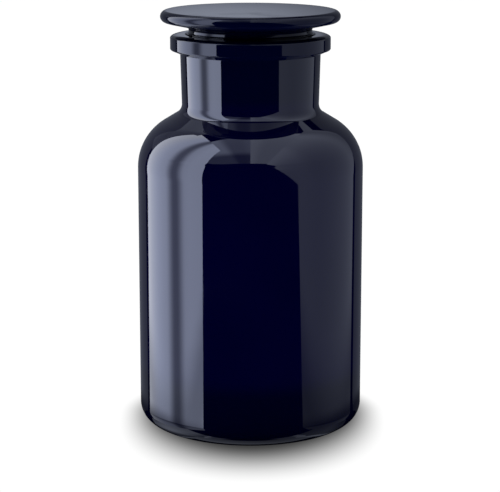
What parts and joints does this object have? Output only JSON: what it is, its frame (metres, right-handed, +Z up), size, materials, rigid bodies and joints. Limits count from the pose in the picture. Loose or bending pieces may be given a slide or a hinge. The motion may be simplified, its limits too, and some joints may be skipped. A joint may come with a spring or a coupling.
{
  "type": "apothecary jar",
  "caption": "Wide-neck apothecary jar of near-black violet glass, straight body, round shoulder, thick lip and a lift-out mushroom-head ground-glass stopper.",
  "frame": {"origin": "centre of the base, in the plane of the ring that the jar stands on", "axes": "+Z up along the axis that both pieces are turned about, the way the stopper lifts"},
  "size_m": [0.1074, 0.1074, 0.1995],
  "materials": {
    "bottle_glass": "polished near-black violet glass, ground matt inside the neck",
    "stopper_glass": "polished near-black violet glass head, ground matt plug"
  },
  "bodies": {
    "bottle": {"bottle": "bottle_glass"},
    "stopper": {"stopper": "stopper_glass"}
  },
  "joints": [
    {"name": "stopper_lift", "type": "slide", "parent": "bottle", "child": "stopper", "axis": [0, 0, 1], "range_m": [0, 0.05]}
  ]
}
